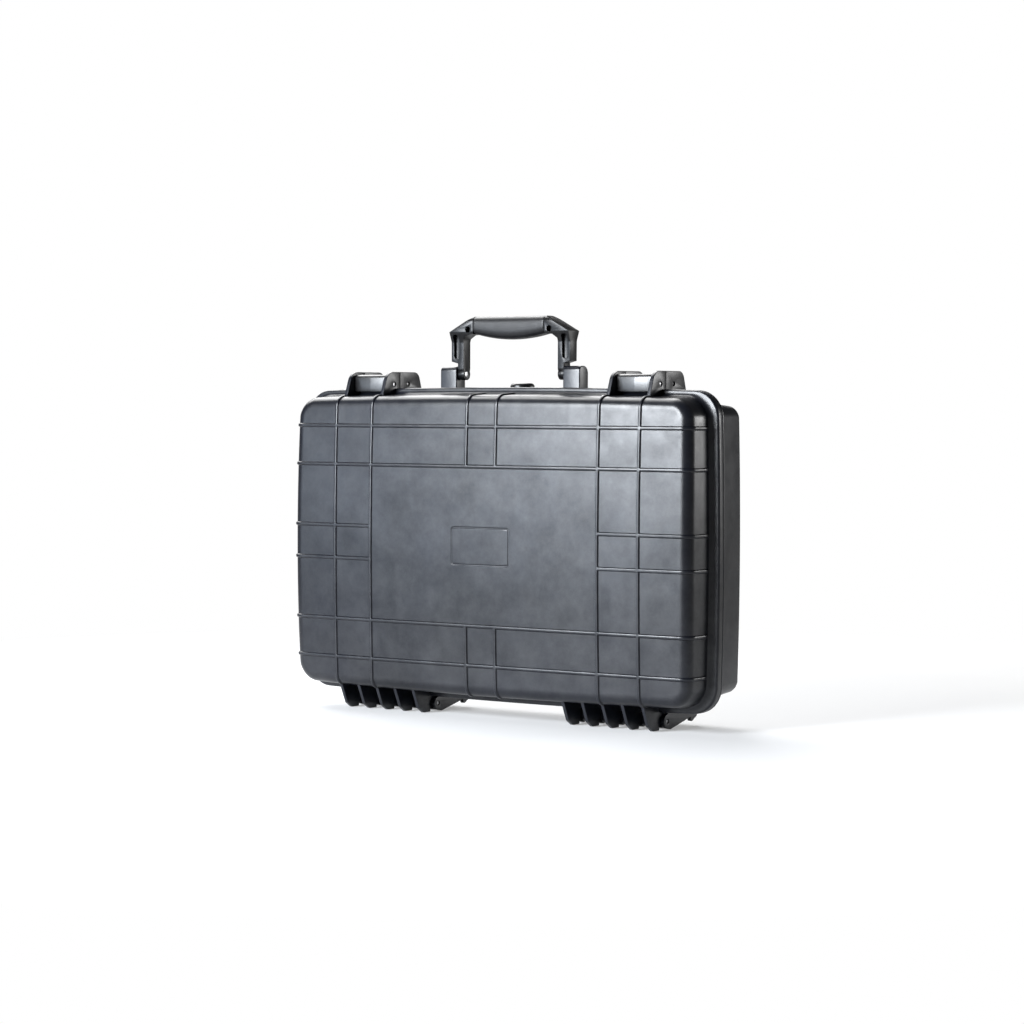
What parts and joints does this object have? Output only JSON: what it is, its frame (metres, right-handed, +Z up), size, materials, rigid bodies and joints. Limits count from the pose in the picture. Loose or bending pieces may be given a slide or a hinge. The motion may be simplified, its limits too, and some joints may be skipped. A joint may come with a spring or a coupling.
{
  "type": "hard protective carrying case",
  "caption": "Moulded hard carrying case with ribbed lid and base, lever latches, folding handle, hinge feet, seal, purge valve and foam lining.",
  "frame": {"origin": "on the floor, under the middle of the case as it stands on its hinge feet", "axes": "+X along the hinge, to the right seen from the front; +Y from the lid's face towards the base's rear; +Z up towards the handle"},
  "size_m": [0.506, 0.116, 0.4066],
  "materials": {
    "shell_plastic": "satin",
    "latch_plastic": "satin",
    "handle_plastic": "satin",
    "grip_rubber": "matte",
    "seal_rubber": "matte",
    "foam": "matte",
    "valve_plastic": "satin",
    "pin_steel": "satin"
  },
  "bodies": {
    "base": {"base_shell": "shell_plastic", "base_foam": "foam", "valve_body": "valve_plastic", "valve_oring": "seal_rubber", "valve_nut": "valve_plastic", "hinge_pin_left": "pin_steel", "latch_pin_left": "pin_steel", "handle_pin_left": "pin_steel", "hinge_pin_right": "pin_steel", "latch_pin_right": "pin_steel", "handle_pin_right": "pin_steel"},
    "lid": {"lid_shell": "shell_plastic", "lid_gasket": "seal_rubber", "lid_foam": "foam", "catch_bar_left": "pin_steel", "catch_bar_right": "pin_steel"},
    "handle": {"handle_frame": "handle_plastic", "handle_grip": "grip_rubber"},
    "purge_knob": {"valve_knob": "valve_plastic"},
    "latch_left": {"latch_lever_left": "latch_plastic", "link_pin_left": "pin_steel"},
    "hook_left": {"latch_hook_left": "latch_plastic"},
    "latch_right": {"latch_lever_right": "latch_plastic", "link_pin_right": "pin_steel"},
    "hook_right": {"latch_hook_right": "latch_plastic"}
  },
  "joints": [
    {"name": "lid_hinge", "type": "hinge", "parent": "base", "child": "lid", "pos_m": [0, -0.0085, 0.0083], "axis": [1, 0, 0], "range_deg": [0, 110]},
    {"name": "handle_fold", "type": "hinge", "parent": "base", "child": "handle", "pos_m": [0, 0.001, 0.348], "axis": [1, 0, 0], "range_deg": [-90, 90]},
    {"name": "purge_knob_turn", "type": "hinge", "parent": "base", "child": "purge_knob", "pos_m": [0, 0.0175, 0.334], "axis": [0, 0, 1], "range_deg": [0, 180]},
    {"name": "latch_left_lift", "type": "hinge", "parent": "base", "child": "latch_left", "pos_m": [-0.16175, 0.0065, 0.338], "axis": [-1, 0, 0], "range_deg": [0, 105]},
    {"name": "hook_left_swing", "type": "hinge", "parent": "latch_left", "child": "hook_left", "pos_m": [-0.16175, -0.0035, 0.3405], "axis": [-1, 0, 0], "range_deg": [-24, 0]},
    {"name": "latch_right_lift", "type": "hinge", "parent": "base", "child": "latch_right", "pos_m": [0.16175, 0.0065, 0.338], "axis": [-1, 0, 0], "range_deg": [0, 105]},
    {"name": "hook_right_swing", "type": "hinge", "parent": "latch_right", "child": "hook_right", "pos_m": [0.16175, -0.0035, 0.3405], "axis": [-1, 0, 0], "range_deg": [-24, 0]}
  ],
  "couplings": [
    {"joint": "hook_left_swing", "follows": "latch_left_lift", "ratio": -0.22},
    {"joint": "hook_right_swing", "follows": "latch_right_lift", "ratio": -0.22}
  ]
}
